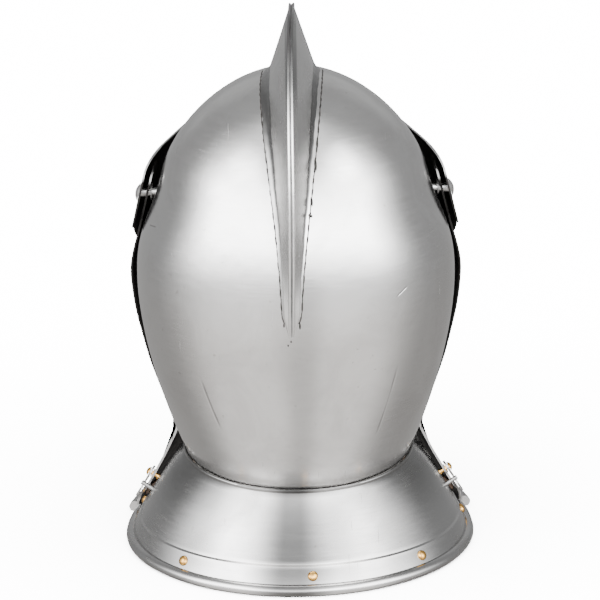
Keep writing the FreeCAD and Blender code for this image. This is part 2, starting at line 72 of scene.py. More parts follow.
# ---------------------------------------------------------------- curves and meshes
def through(rows):
    """Smooth curves through rows: a function of their first value that gives the others."""
    keys = [row[0] for row in rows]
    last = len(rows) - 1

    def slope(i, column):
        a = max(i - 1, 0)
        b = min(i + 1, last)
        return (rows[b][column] - rows[a][column]) / (keys[b] - keys[a])

    def at(key):
        key = min(max(key, keys[0]), keys[-1])
        i = min(bisect.bisect_right(keys, key) - 1, last - 1)
        span = keys[i + 1] - keys[i]
        t = (key - keys[i]) / span
        values = []
        for column in range(1, len(rows[0])):
            p0, p1 = rows[i][column], rows[i + 1][column]
            m0, m1 = slope(i, column) * span, slope(i + 1, column) * span
            rise = (3 - 2 * t) * t * t
            values.append(p0 + (p1 - p0) * rise + m0 * t * (1 - t) ** 2 - m1 * t * t * (1 - t))
        return values

    return at


def lerp(a, b, t):
    return a + (b - a) * t


def signed_power(value, power):
    return math.copysign(abs(value) ** power, value)


def to_object(bm, name, smooth=True):
    mesh = bpy.data.meshes.new(name)
    bm.to_mesh(mesh)
    bm.free()
    for p in mesh.polygons:
        p.use_smooth = smooth
    obj = bpy.data.objects.new(name, mesh)
    SCENE.collection.objects.link(obj)
    return obj


def disc(name, radius, z, segments=96):
    bm = bmesh.new()
    bmesh.ops.create_circle(bm, cap_ends=True, radius=radius, segments=segments)
    bmesh.ops.translate(bm, vec=(0, 0, z), verts=bm.verts)
    return to_object(bm, name, smooth=False)


def join_rings(bm, a, b, material=None):
    """The band of faces between two closed rings of as many vertices."""
    count = len(a)
    for j in range(count):
        k = (j + 1) % count
        face = bm.faces.new((a[j], a[k], b[k], b[j]))
        if material:
            face.material_index = material(j)


def tube(name, rings, materials, material_of=None, smooth=True):
    """A closed skin over rings of points, all the same length, with both ends capped."""
    bm = bmesh.new()
    loops = [[bm.verts.new(p) for p in ring] for ring in rings]
    for a, b in zip(loops, loops[1:]):
        join_rings(bm, a, b, material_of)
    for ring in (loops[0], loops[-1]):
        cap = bm.faces.new(ring)
        cap.material_index = len(materials) - 1
        bmesh.ops.triangulate(bm, faces=[cap])
    bmesh.ops.recalc_face_normals(bm, faces=bm.faces)
    obj = to_object(bm, name, smooth)
    for m in materials:
        obj.data.materials.append(m)
    return obj


def crisp(obj, degrees=38.0):
    """Keeps edges sharper than an angle as real creases."""
    obj.data.set_sharp_from_angle(angle=math.radians(degrees))
    return obj


def surface_of(obj):
    """A target for rays and for nearest points: a shown piece, where it stands at rest."""
    bm = bmesh.new()
    bm.from_mesh(obj.data)
    bm.transform(obj.matrix_world)
    tree = BVHTree.FromBMesh(bm)
    bm.free()
    return tree


# ---------------------------------------------------------------- node helpers
class Graph:
    """A little shorthand for building a shader's node tree."""

    def __init__(self, tree):
        self.tree = tree
        self.nodes = tree.nodes
        self.links = tree.links

    def put(self, socket, value):
        if isinstance(value, bpy.types.NodeSocket):
            self.links.new(value, socket)
        else:
            socket.default_value = value

    def node(self, kind, settings=None, **inputs):
        n = self.nodes.new(kind)
        for key, value in (settings or {}).items():
            setattr(n, key, value)
        for key, value in inputs.items():
            self.put(n.inputs[key.replace("_", " ")], value)
        return n

    def math(self, operation, a, b=None, c=None):
        n = self.nodes.new("ShaderNodeMath")
        n.operation = operation
        for socket, value in zip(n.inputs, (a, b, c)):
            if value is not None:
                self.put(socket, value)
        return n.outputs[0]

    def vector(self, operation, a, b=None, result="Vector"):
        n = self.nodes.new("ShaderNodeVectorMath")
        n.operation = operation
        for socket, value in zip(n.inputs, (a, b)):
            if value is not None:
                self.put(socket, value)
        return n.outputs[result]

    def ramp(self, value, low, high, start=0.0, end=1.0):
        """Smooth step from start at low to end at high."""
        if low > high:
            low, high, start, end = high, low, end, start
        n = self.nodes.new("ShaderNodeMapRange")
        n.interpolation_type = "SMOOTHSTEP"
        names = ("Value", "From Min", "From Max", "To Min", "To Max")
        for name, v in zip(names, (value, low, high, start, end)):
            self.put(n.inputs[name], v)
        return n.outputs["Result"]

    def mix(self, factor, a, b):
        n = self.nodes.new("ShaderNodeMix")
        n.data_type = "RGBA"
        self.put(n.inputs["Factor"], factor)
        self.put(n.inputs["A"], a)
        self.put(n.inputs["B"], b)
        return n.outputs["Result"]

    def noise(self, vector, scale, detail=2.0, roughness=0.5, distortion=0.0):
        n = self.nodes.new("ShaderNodeTexNoise")
        self.put(n.inputs["Vector"], vector)
        names = ("Scale", "Detail", "Roughness", "Distortion")
        for name, v in zip(names, (scale, detail, roughness, distortion)):
            n.inputs[name].default_value = v
        return n.outputs["Fac"]

    def stretched(self, vector, scale, turn=(0.0, 0.0, 0.0)):
        n = self.nodes.new("ShaderNodeMapping")
        self.put(n.inputs["Vector"], vector)
        n.inputs["Scale"].default_value = scale
        n.inputs["Rotation"].default_value = turn
        return n.outputs["Vector"]

    def bump(self, height, strength, distance, normal=None):
        n = self.nodes.new("ShaderNodeBump")
        self.put(n.inputs["Height"], height)
        n.inputs["Strength"].default_value = strength
        n.inputs["Distance"].default_value = distance
        if normal is not None:
            self.put(n.inputs["Normal"], normal)
        return n.outputs["Normal"]


def rgb(r, g, b):
    return (r, g, b, 1.0)


def new_material(name):
    """A material with its graph, its principled shader and the place on the object."""
    m = bpy.data.materials.new(name)
    m.use_nodes = True
    g = Graph(m.node_tree)
    where = g.node("ShaderNodeTexCoord").outputs["Object"]
    return m, g, g.nodes["Principled BSDF"], where


# ---------------------------------------------------------------- studio
BLACK = 0.40  # strength of the room where no light falls
BRIGHTEST = 30.0  # how many times brighter the middle of the broad light is


def make_world():
    """The room that the steel mirrors: a broad soft light behind the camera, a small one before the face.

    Every light is a level from 0, the room's black, to 1. Directions are a turn round the helmet,
    0 towards the camera, and a rise over the horizon.
    """
    world = bpy.data.worlds.new("studio")
    world.use_nodes = True
    SCENE.world = world
    g = Graph(world.node_tree)
    g.nodes.clear()
    deg = math.radians
    direction = g.node("ShaderNodeTexCoord").outputs["Generated"]
    x, y, z = g.node("ShaderNodeSeparateXYZ", Vector=direction).outputs
    turn = g.math("ARCTAN2", g.math("MULTIPLY", x, -1.0), y)
    rise = g.math("ARCSINE", z)
    # the broad light, fading at its sides, overhead and below the horizon
    away = g.math("ABSOLUTE", g.math("ADD", turn, deg(4)))
    key = g.ramp(away, deg(112), deg(58))
    key = g.math("MULTIPLY", key, g.ramp(rise, deg(20), deg(75), 1.0, 0.12))
    key = g.math("MULTIPLY", key, g.ramp(rise, deg(-12), deg(14), 0.38, 1.0))
    # its two brighter upper corners
    corner = g.math("ABSOLUTE", g.math("SUBTRACT", g.math("ABSOLUTE", turn), deg(50)))
    corner = g.ramp(corner, deg(28), deg(6), 0.0, 0.28)
    height = g.math("ABSOLUTE", g.math("SUBTRACT", rise, deg(46)))
    key = g.math("ADD", key, g.math("MULTIPLY", corner, g.ramp(height, deg(16), deg(4))))
    # the light that the floor sends back, with a darker stretch under the camera
    side = g.ramp(away, deg(120), deg(40))
    low_fill = g.math("MULTIPLY", side, g.ramp(rise, deg(-70), deg(-18), 0.05, 0.46))
    middle = g.math("ABSOLUTE", g.math("SUBTRACT", turn, deg(3)))
    dip = g.math("MULTIPLY", g.ramp(middle, deg(20), deg(3)), g.ramp(rise, deg(12), deg(-6), 0.0, 0.13))
    # the small light before the face
    behind = g.math("SUBTRACT", math.pi, g.math("ABSOLUTE", turn))
    front = g.math("MULTIPLY", g.ramp(behind, deg(60), deg(25)), g.ramp(rise, deg(0), deg(20), 0.0, 0.13))
    front = g.math("MULTIPLY", front, g.ramp(rise, deg(35), deg(60), 1.0, 0.2))
    walls = g.ramp(rise, deg(20), deg(65), 0.03, 0.07)
    level = g.node("ShaderNodeMath", {"operation": "SMOOTH_MAX"})
    g.put(level.inputs[0], key)
    g.put(level.inputs[1], low_fill)
    level.inputs[2].default_value = 0.08
    level = g.math("SUBTRACT", level.outputs[0], dip)
    level = g.math("MAXIMUM", g.math("MAXIMUM", level, front), walls)
    strength = g.math("MULTIPLY", g.math("POWER", BRIGHTEST, level), BLACK)
    warm = g.ramp(rise, deg(5), deg(-35))
    tint = g.mix(warm, rgb(0.985, 0.992, 1.0), rgb(1.0, 0.975, 0.95))
    background = g.node("ShaderNodeBackground", Color=tint, Strength=strength)
    out = g.node("ShaderNodeOutputWorld")
    g.links.new(background.outputs[0], out.inputs[0])


def floor_paper():
    m, g, b, where = new_material("floor_paper")
    paper = g.noise(where, 3.0, 2.0)
    g.put(b.inputs["Base Color"], g.mix(paper, rgb(0.925, 0.925, 0.925), rgb(0.935, 0.935, 0.935)))
    b.inputs["Roughness"].default_value = 1.0
    b.inputs["Specular IOR Level"].default_value = 0.0
    return m


def backdrop_white():
    m = bpy.data.materials.new("backdrop_white")
    m.use_nodes = True
    g = Graph(m.node_tree)
    g.nodes.clear()
    glow = g.node("ShaderNodeEmission", Color=rgb(1, 1, 1), Strength=14.0)
    out = g.node("ShaderNodeOutputMaterial")
    g.links.new(glow.outputs[0], out.inputs[0])
    return m


def make_stage():
    """A pale floor with its own overhead light, and a white backdrop, both kept out of reflections."""
    reach = 7.0
    floor = disc("floor", reach, 0.0)
    floor.data.materials.append(floor_paper())
    bm = bmesh.new()
    bmesh.ops.create_icosphere(bm, subdivisions=5, radius=reach)
    backdrop = to_object(bm, "backdrop")
    backdrop.data.materials.append(backdrop_white())
    for obj in (floor, backdrop):
        obj.visible_glossy = False
        obj.visible_diffuse = False
    backdrop.visible_shadow = False
    light = bpy.data.lights.new("floor_light", "SUN")
    light.energy = 46.0
    light.angle = math.radians(120)
    sun = bpy.data.objects.new("floor_light", light)
    SCENE.collection.objects.link(sun)
    only_floor = bpy.data.collections.new("floor_only")
    only_floor.objects.link(floor)
    sun.light_linking.receiver_collection = only_floor


make_world()
make_stage()


# ---------------------------------------------------------------- materials
def outward(g, heart):
    """How far a face looks away from a point inside the helmet: 1 straight out, -1 straight in."""
    coordinates = g.node("ShaderNodeTexCoord")
    away = g.vector("NORMALIZE", g.vector("SUBTRACT", coordinates.outputs["Object"], heart))
    return g.vector("DOT_PRODUCT", away, coordinates.outputs["Normal"], "Value")


def along_line(g, where, start, end, width):
    """1 on a line between two points of the surface, fading to 0 at its width and its ends."""
    start, end = Vector(start), Vector(end)
    run = (end - start).length
    from_start = g.vector("SUBTRACT", where, start)
    along = g.vector("DOT_PRODUCT", from_start, (end - start).normalized(), "Value")
    size = g.vector("LENGTH", from_start, result="Value")
    square = g.math("SUBTRACT", g.math("POWER", size, 2.0), g.math("POWER", along, 2.0))
    side = g.math("SQRT", g.math("MAXIMUM", square, 0.0))
    ends = g.math("MULTIPLY", g.ramp(along, 0.0, run * 0.3), g.ramp(along, run, run * 0.7))
    return g.math("MULTIPLY", g.ramp(side, width, width * 0.2), ends)


def collar_painted_shade(g, where):
    """Painted shade: the collar is painted darkest under the skull, at its sides and in the middle of the
    back, standing in for the shade and the dark reflection of the skull above.
    """
    x, y, z = g.node("ShaderNodeSeparateXYZ", Vector=where).outputs
    turn = g.math("ARCTAN2", x, g.math("SUBTRACT", y, SKULL_MID * MM))
    off = g.math("ABSOLUTE", g.math("SUBTRACT", turn, math.radians(3.5)))
    middle = g.ramp(off, math.radians(3), math.radians(19), 0.25, 1.0)
    sides = g.ramp(off, math.radians(27), math.radians(42), 1.0, 0.64)
    return g.math("MULTIPLY", g.math("MULTIPLY", middle, sides), g.ramp(z, 0.056, 0.022, 0.58, 1.0))


def root_painted_shade(g, where):
    """Painted shade in the hollow fillet at the comb's foot, darkest near the crown."""
    z = g.node("ShaderNodeSeparateXYZ", Vector=where).outputs["Z"]
    return g.ramp(z, 0.245, 0.290, 0.62, 0.36)


def ridge_top_darkening(g, where):
    """The comb's ridge is darker towards the top."""
    x, _, z = g.node("ShaderNodeSeparateXYZ", Vector=where).outputs
    off = g.math("ABSOLUTE", g.math("SUBTRACT", x, 0.001))
    near = g.ramp(off, 0.0042, 0.0030, 0.0, 0.6)
    return g.math("SUBTRACT", 1.0, g.math("MULTIPLY", near, g.ramp(z, 0.300, 0.328)))


def steel(name, tone=0.64, roughness=0.17, lines=(60.0, 60.0, 900.0), waves=0.0005,
          heart=None, darkening=None, marks=()):
    """Polished sheet steel: fine brush lines, shallow hammer waves, hair scratches and a few dull marks.

    With a heart, the faces that look towards that point, the plates' cut edges among them, carry rough
    black
    paint: partly the blackened inside, partly painted shade in the gaps and on the edges. A darkening
    factor,
    if given, darkens the metal: painted shade on the collars and in the comb's foot, and a darker ridge
    top on the comb. marks are scratches, each a start, an end and a width.
    """
    m, g, b, where = new_material(name)
    brush = g.noise(g.stretched(where, lines), 1.0, 4.0, 0.65)
    cross = g.noise(g.stretched(where, (lines[2], lines[0], lines[0]), (0.0, 0.5, 0.35)), 0.8, 3.0, 0.6)
    cloud = g.noise(where, 22.0, 4.0, 0.6, 0.6)
    spots = g.noise(where, 260.0, 3.0, 0.7)
    hair = g.noise(g.stretched(where, (900.0, 25.0, 40.0), (0.4, 0.3, 0.9)), 1.0, 2.0, 0.5, 0.2)
    scratch = g.math("MULTIPLY", g.ramp(hair, 0.70, 0.76), g.ramp(cloud, 0.50, 0.62))
    light = rgb(tone * 1.04, tone * 1.03, tone * 1.015)
    dark = rgb(tone * 0.90, tone * 0.885, tone * 0.87)
    colour = g.mix(g.ramp(cloud, 0.35, 0.68), light, dark)
    colour = g.mix(g.math("MULTIPLY", g.ramp(spots, 0.66, 0.74), 0.30), colour, rgb(0.20, 0.17, 0.15))
    colour = g.mix(g.math("MULTIPLY", scratch, 0.45), colour, rgb(0.30, 0.28, 0.27))
    # Painted shade: the darkening factor darkens the colour towards black, as under the skull on the
    # collars and in the fillet at the comb's foot.
    if darkening is not None:
        colour = g.mix(darkening(g, where), rgb(0.0, 0.0, 0.0), colour)
    groove = None
    for start, end, width in marks:
        line = along_line(g, where, start, end, width)
        groove = line if groove is None else g.math("MAXIMUM", groove, line)
    if groove is not None:
        colour = g.mix(g.math("MULTIPLY", groove, 0.55), colour, rgb(0.16, 0.15, 0.15))
    b.inputs["Metallic"].default_value = 1.0
    rough = g.ramp(cloud, 0.3, 0.7, roughness * 0.85, roughness * 1.3)
    rough = g.math("ADD", rough, g.ramp(brush, 0.35, 0.75, 0.0, 0.07))
    rough = g.math("ADD", rough, g.math("MULTIPLY", scratch, 0.25))
    if heart is not None:
        # Black paint on the inside and on the cut edges: partly the blackened inside, partly painted
        # shade in the gaps between the plates and on the edges.
        paint = g.ramp(outward(g, heart), 0.16, 0.04)
        black_paint_and_shade = g.mix(cloud, rgb(0.010, 0.010, 0.010), rgb(0.022, 0.020, 0.019))
        colour = g.mix(paint, colour, black_paint_and_shade)
        rough = g.math("ADD", rough, g.math("MULTIPLY", paint, 0.5))
        bare = g.math("SUBTRACT", 1.0, paint)
        g.put(b.inputs["Metallic"], bare)
        g.put(b.inputs["Specular IOR Level"], g.math("MULTIPLY", bare, 0.5))
    g.put(b.inputs["Base Color"], colour)
    g.put(b.inputs["Roughness"], rough)
    hills = g.noise(where, 14.0, 1.0, 0.4)
    normal = g.bump(hills, 1.0, waves)
    normal = g.bump(brush, 0.35, 0.00003, normal)
    normal = g.bump(cross, 0.22, 0.00002, normal)
    normal = g.bump(g.math("MULTIPLY", scratch, -1.0), 0.4, 0.00005, normal)
    if groove is not None:
        normal = g.bump(g.math("MULTIPLY", groove, -1.0), 0.6, 0.0002, normal)
    g.put(b.inputs["Normal"], normal)
    return m


def brass(name):
    """Brass that the years have browned in patches."""
    m, g, b, where = new_material(name)
    tarnish = g.noise(where, 420.0, 3.0, 0.6)
    grain = g.noise(where, 2500.0, 2.0)
    colour = g.mix(g.ramp(tarnish, 0.42, 0.68), rgb(0.62, 0.36, 0.10), rgb(0.30, 0.15, 0.04))
    g.put(b.inputs["Base Color"], colour)
    b.inputs["Metallic"].default_value = 1.0
    g.put(b.inputs["Roughness"], g.ramp(tarnish, 0.3, 0.7, 0.18, 0.38))
    g.put(b.inputs["Normal"], g.bump(grain, 0.25, 0.00003))
    return m


def dull(name, light, dark, roughness=0.8, scale=300.0):
    """Rough paint, burnt metal or thread: two tones in fine cloud."""
    m, g, b, where = new_material(name)
    cloud = g.noise(where, scale, 4.0, 0.6)
    g.put(b.inputs["Base Color"], g.mix(g.ramp(cloud, 0.35, 0.65), light, dark))
    g.put(b.inputs["Roughness"], g.ramp(cloud, 0.3, 0.7, roughness * 0.85, min(roughness * 1.15, 1.0)))
    b.inputs["Specular IOR Level"].default_value = 0.2
    g.put(b.inputs["Normal"], g.bump(cloud, 0.4, 0.0001))
    return m


def leather(name, tone=rgb(0.09, 0.055, 0.035)):
    """Dark leather with pores, wrinkles and paler worn places."""
    m, g, b, where = new_material(name)
    pores = g.node("ShaderNodeTexVoronoi", {"feature": "DISTANCE_TO_EDGE"}, Vector=where, Scale=900.0)
    wrinkle = g.noise(where, 220.0, 5.0, 0.6, 0.8)
    worn = g.noise(where, 45.0, 3.0)
    pale = (tone[0] * 2.1, tone[1] * 2.0, tone[2] * 1.9, 1.0)
    g.put(b.inputs["Base Color"], g.mix(g.ramp(worn, 0.45, 0.75), tone, pale))
    g.put(b.inputs["Roughness"], g.ramp(wrinkle, 0.3, 0.7, 0.5, 0.72))
    grain = g.ramp(pores.outputs["Distance"], 0.0, 0.12)
    normal = g.bump(grain, 0.5, 0.00012)
    g.put(b.inputs["Normal"], g.bump(wrinkle, 0.4, 0.0002, normal))
    return m


def linen(name):
    """Undyed linen with a plain weave and old stains."""
    m, g, b, where = new_material(name)
    warp, weft = (
        g.node("ShaderNodeTexWave", {"bands_direction": bands}, Vector=where, Scale=420.0, Distortion=1.2)
        for bands in ("DIAGONAL", "Z")
    )
    weave = g.math("MULTIPLY", warp.outputs["Fac"], weft.outputs["Fac"])
    darkening = g.noise(where, 18.0, 4.0, 0.6)
    base = g.mix(g.ramp(darkening, 0.35, 0.7), rgb(0.50, 0.44, 0.33), rgb(0.38, 0.32, 0.23))
    g.put(b.inputs["Base Color"], g.mix(g.math("MULTIPLY", weave, 0.35), base, rgb(0.62, 0.57, 0.46)))
    b.inputs["Roughness"].default_value = 0.92
    b.inputs["Sheen Weight"].default_value = 0.25
    g.put(b.inputs["Normal"], g.bump(weave, 0.5, 0.0003))
    return m


def inside_of(node, point):
    """A point of the row frame as that node's own coordinates."""
    return tuple(NODES[node].matrix_world.inverted() @ Vector(point))


def on_back(x, z):
    """The point of the skull's back at a place (x, z) in millimetres."""
    return SKULL_SKIN.ray_cast(Vector((x, 300, z)) * MM, Vector((0, -1, 0)))[0]


SKULL_SKIN = surface_of(NODES["skull_shell"])
SCRATCHES = (
    # start (x, z), end (x, z) and width, all in millimetres
    ((94, 225), (88, 227), 0.9),
    ((93, 205), (77, 202), 0.8),
    ((62, 138), (49, 99), 1.5),
    ((-64, 145), (-49, 92), 1.5),
    ((-70, 196), (-62, 190), 0.7),
)
SKULL_MARKS = [(on_back(*a), on_back(*b), width * MM) for a, b, width in SCRATCHES]
SKULL_STEEL = steel("skull_steel", heart=inside_of("skull_shell", (0.0, 0.036, 0.20)), marks=SKULL_MARKS)
BEVOR_STEEL = steel("bevor_steel", heart=inside_of("bevor_shell", (0.0, 0.045, 0.19)))
VISOR_STEEL = steel("visor_steel", heart=inside_of("visor_shell", (0.0, 0.045, 0.20)))
# Black paint for the collars' inside, which also stands in for the shade there.
BLACK_INSIDE_AND_SHADE = dull("black_inside_and_shade", rgb(0.022, 0.020, 0.019), rgb(0.010, 0.010, 0.010))
BURNT = dull("burnt_weld", rgb(0.030, 0.026, 0.024), rgb(0.012, 0.011, 0.010), 0.7)
THREAD = dull("waxed_thread", rgb(0.44, 0.37, 0.26), rgb(0.26, 0.20, 0.13), 0.75, 900.0)
COMB_STEEL = steel("comb_steel", tone=0.60, roughness=0.2, lines=(500.0, 40.0, 40.0), waves=0.0002,
                   darkening=ridge_top_darkening)
# The collars' steel carries painted shade and painted reflection, darkest under the skull.
SHADED_COLLAR_STEEL = steel("shaded_collar_steel", tone=0.62, roughness=0.2, lines=(60.0, 60.0, 700.0), waves=0.0003,
                     darkening=collar_painted_shade)
# The fillet at the comb's foot carries painted shade, darker near the crown.
ROOT_SHADE_STEEL = steel("root_shade_steel", tone=0.58, roughness=0.2, lines=(500.0, 40.0, 40.0), waves=0.0001,
                   darkening=root_painted_shade)
FOLD_STEEL = steel("fold_steel", tone=0.20, roughness=0.4, waves=0.00005)
SMALL_STEEL = steel("small_steel", tone=0.58, roughness=0.24, waves=0.00005)
LATCH_STEEL = steel("latch_steel", tone=0.40, roughness=0.32, waves=0.00005)
DARK_STEEL = steel("dark_steel", tone=0.26, roughness=0.35, waves=0.00005)
BRASS = brass("brass")
LEATHER = leather("leather")
LINEN = linen("linen")

FINISH = {
    "skull_shell": SKULL_STEEL,
    "bevor_shell": BEVOR_STEEL,
    "visor_shell": VISOR_STEEL,
    "comb": COMB_STEEL,
    "rear_collar_plate": SHADED_COLLAR_STEEL,
    "front_collar_plate": SHADED_COLLAR_STEEL,
    "rear_collar_rivets": BRASS,
    "front_collar_rivets": BRASS,
    "latch_rivet_left": BRASS,
    "latch_rivet_right": BRASS,
    "bevor_collar_rivets": SMALL_STEEL,
    "lifting_peg": SMALL_STEEL,
    "pivot_bolt_left": SMALL_STEEL,
    "pivot_bolt_right": SMALL_STEEL,
    "latch_left": LATCH_STEEL,
    "latch_right": LATCH_STEEL,
    "latch_studs": DARK_STEEL,
    "pivot_spacers": DARK_STEEL,
    "pivot_nut_left": DARK_STEEL,
    "pivot_nut_right": DARK_STEEL,
    "liner_pad": LINEN,
    "liner_band": LEATHER,
    "rear_collar_lining": LEATHER,
    "front_collar_lining": LEATHER,
}
for node_name, finish in FINISH.items():
    NODES[node_name].data.materials.clear()
    NODES[node_name].data.materials.append(finish)


# ---------------------------------------------------------------- comb
COMB = through(
    (
        # angle above forward, height of the ridge over the skull, half width of the base
        (46, -2.0, 4.0),
        (58, 1.0, 5.5),
        (68, 3.5, 8.0),
        (76, 8.5, 11.5),
        (82, 17.5, 14.5),
        (88, 30.0, 17.0),
        (94, 39.5, 18.4),
        (100, 43.5, 19.0),
        (110, 43.5, 19.2),
        (124, 39.0, 19.0),
        (140, 31.5, 17.5),
        (156, 23.0, 14.9),
        (172, 15.0, 11.5),
        (186, 8.5, 8.5),
        (196, 4.6, 6.7),
        (203, 2.6, 5.6),
        (206, 1.6, 3.4),
        (209, -0.4, 1.3),
    )
)
COMB_START, COMB_END, COMB_STEP = 50.0, 208.6, 1.3  # angles, in degrees
# how far the hand-fitted comb has drifted to the wearer's left, by angle
DRIFT = through(((50, 0.0), (98, 0.0), (124, 1.3), (148, 1.9), (175, 2.1), (209, 3.2)))
RIDGE = 1.9 * MM  # half width of the folded ridge
FILLET_POINTS = 8  # points of the hollow fillet at the foot of a flank
FLANK_STEPS = 10
# half the folded ridge, as shares of its half width and of the drop from its top to its shoulder
FOLD = ((1.08, 0.85), (1.02, 0.35), (0.80, 0.06), (0.52, 0.0), (0.27, 0.22), (0.09, 0.62))
FLANK_POINTS = FILLET_POINTS + FLANK_STEPS + len(FOLD)
UNDER_POINTS = 7  # points across the hidden underside


def comb_point(x, angle, radius):
    a = math.radians(angle)
    return Vector((x, PIVOT.y - radius * math.cos(a), PIVOT.z + radius * math.sin(a)))


def skull_radius(x, angle):
    """Distance from the hinge line to the skull's outside, across the comb's half plane."""
    start = comb_point(x, angle, 0.25)
    hit = SKULL_SKIN.ray_cast(start, (comb_point(x, angle, 0.0) - start).normalized())[0]
    return 0.25 - (hit - start).length


def comb_flank(angle, wobble):
    """One flank from the weld to the ridge: hollow fillet, straight flank and half the folded ridge."""
    height, base = (v * MM for v in COMB(angle))
    ridge = min(RIDGE, base * 0.6)
    top = skull_radius(0.0, angle) + height + wobble * 0.35
    base += wobble
    foot_x = lerp(ridge, base, 0.78)
    foot = (foot_x, skull_radius(foot_x, angle))
    toe = (base, skull_radius(base, angle) - 0.15 * MM)
    shoulder = (ridge * 0.72, top - min(1.5 * MM, 0.4 * max(height, 0.5 * MM)))
    knee = tuple(lerp(foot[k], shoulder[k], 0.13) for k in (0, 1))
    points = []
    for i in range(FILLET_POINTS):
        t = i / (FILLET_POINTS - 1)
        a, b, c = (1 - t) ** 2, 2 * t * (1 - t), t * t
        points.append(tuple(a * toe[k] + b * foot[k] + c * knee[k] for k in (0, 1)))
    for i in range(1, FLANK_STEPS + 1):
        points.append(tuple(lerp(knee[k], shoulder[k], i / FLANK_STEPS) for k in (0, 1)))
    for share, drop in FOLD:
        points.append((ridge * share, top - drop * (top - shoulder[1])))
    return points


def comb_rings():
    """Sections of the comb from the brow over the crown and down the back, a little uneven by hand."""
    rings = []
    steps = round((COMB_END - COMB_START) / COMB_STEP)
    for i in range(steps + 1):
        angle = lerp(COMB_START, COMB_END, i / steps)
        hand_left = 0.22 * math.sin(angle * 0.31) + 0.10 * math.sin(angle * 1.3)
        hand_right = 0.20 * math.sin(angle * 0.37 + 2.0) + 0.12 * math.sin(angle * 1.1)
        left = comb_flank(angle, hand_left * MM)
        right = comb_flank(angle, hand_right * MM)
        base = right[0][0]
        drift = DRIFT(angle)[0] * MM
        ring = [comb_point(x + drift, angle, r) for x, r in left]
        ring += [comb_point(drift - x, angle, r) for x, r in reversed(right)]
        for k in range(1, UNDER_POINTS + 1):
            x = lerp(-base, left[0][0], k / (UNDER_POINTS + 1)) + drift
            ring.append(comb_point(x, angle, skull_radius(x, angle) - 0.6 * MM))
        rings.append(ring)
    return rings


def comb_skin(j):
    """Which material a face of the comb carries, by its place in the ring."""
    from_foot = min(j, 2 * FLANK_POINTS - 2 - j)
    if abs(j - FLANK_POINTS + 1) <= 1:
        return 1
    return 2 if 0 <= from_foot < FILLET_POINTS - 1 else 0


def make_comb():
    comb = tube("comb_blade", comb_rings(), [COMB_STEEL, FOLD_STEEL, ROOT_SHADE_STEEL], comb_skin)
    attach(comb, "skull")
    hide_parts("comb")
    return crisp(comb, 50.0)


def blobs(name, spots, material, body, cuts=12):
    """Small flattened lumps, each with a place, an outward and a length direction and three sizes."""
    ball = bmesh.new()
    bmesh.ops.create_uvsphere(ball, u_segments=cuts, v_segments=8, radius=1.0)
    corners = [v.co.copy() for v in ball.verts]
    sides = [[v.index for v in f.verts] for f in ball.faces]
    ball.free()
    points, faces = [], []
    for place, out, along, size in spots:
        side = out.cross(along).normalized()
        along = side.cross(out).normalized()
        turn = Matrix((along, side, out.normalized())).transposed() @ Matrix.Diagonal(size)
        first = len(points)
        points += [place + turn @ c for c in corners]
        faces += [[first + i for i in f] for f in sides]
    mesh = bpy.data.meshes.new(name)
    mesh.from_pydata(points, [], faces)
    mesh.shade_smooth()
    mesh.materials.append(material)
    obj = bpy.data.objects.new(name, mesh)
    SCENE.collection.objects.link(obj)
    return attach(obj, body)


def weld_seams():
    """The thin dark undercut along each side of the comb's weld."""
    section = ((-1.2, -0.4), (-0.9, 0.16), (0.0, 0.26), (0.9, 0.16), (1.2, -0.4))
    for side, name in ((1, "weld_seam_left"), (-1, "weld_seam_right")):
        rings = []
        for i in range(201):
            angle = lerp(100.0, 205.0, i / 200)
            hand = 0.16 * math.sin(angle * 0.9 + side) + 0.10 * math.sin(angle * 2.3)
            thick = (0.44 + 0.14 * math.sin(angle * 1.7) + 0.08 * math.sin(angle * 5.1)) * MM
            x = (side * (COMB(angle)[1] + 0.25) + DRIFT(angle)[0] + 0.5 * hand) * MM
            foot = skull_radius(x, angle)
            ring = []
            for across, up in section:
                ring.append(comb_point(x + across * thick, angle, foot + up * thick))
            rings.append(ring)
        seam = tube(name, rings, [BURNT])
        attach(seam, "skull")


def weld_marks():
    """Dark cold spots left in the weld along the comb's foot, most of them on the wearer's right."""
    spots = []
    marks = (
        # angle, side (1 is the wearer's left), share of the base's half width, length, width
        (144.5, -1, 1.00, 2.2, 0.30),
        (150.3, -1, 1.02, 3.0, 0.75),
        (157.6, -1, 1.00, 3.3, 0.45),
        (158.2, -1, 1.05, 3.6, 0.75),
        (170.2, -1, 1.00, 2.6, 0.40),
        (170.6, -1, 1.08, 2.4, 0.40),
        (174.6, -1, 1.00, 0.9, 0.80),
        (174.9, -1, 1.11, 0.9, 0.80),
        (142.0, 1, 1.00, 0.9, 0.40),
        (183.0, 1, 1.01, 1.2, 0.35),
        (191.0, 1, 1.02, 0.9, 0.35),
        (205.4, 1, 1.25, 1.5, 0.55),
        (205.6, -1, 1.35, 2.2, 0.60),
        (209.6, 1, 0.4, 0.8, 0.5),
        (210.6, 1, 1.8, 0.7, 0.5),
    )
    for angle, side, share, length, width in marks:
        x = (side * share * COMB(angle)[1] + DRIFT(angle)[0]) * MM
        at = comb_point(x, angle, skull_radius(x, angle))
        out = SKULL_SKIN.find_nearest(at)[1]
        along = comb_point(x, angle + 1, skull_radius(x, angle + 1)) - at
        spots.append((at + out * 0.06 * MM, out, along, (length * MM, width * MM, 0.3 * MM)))
    return blobs("comb_weld_marks", spots, BURNT, "skull")


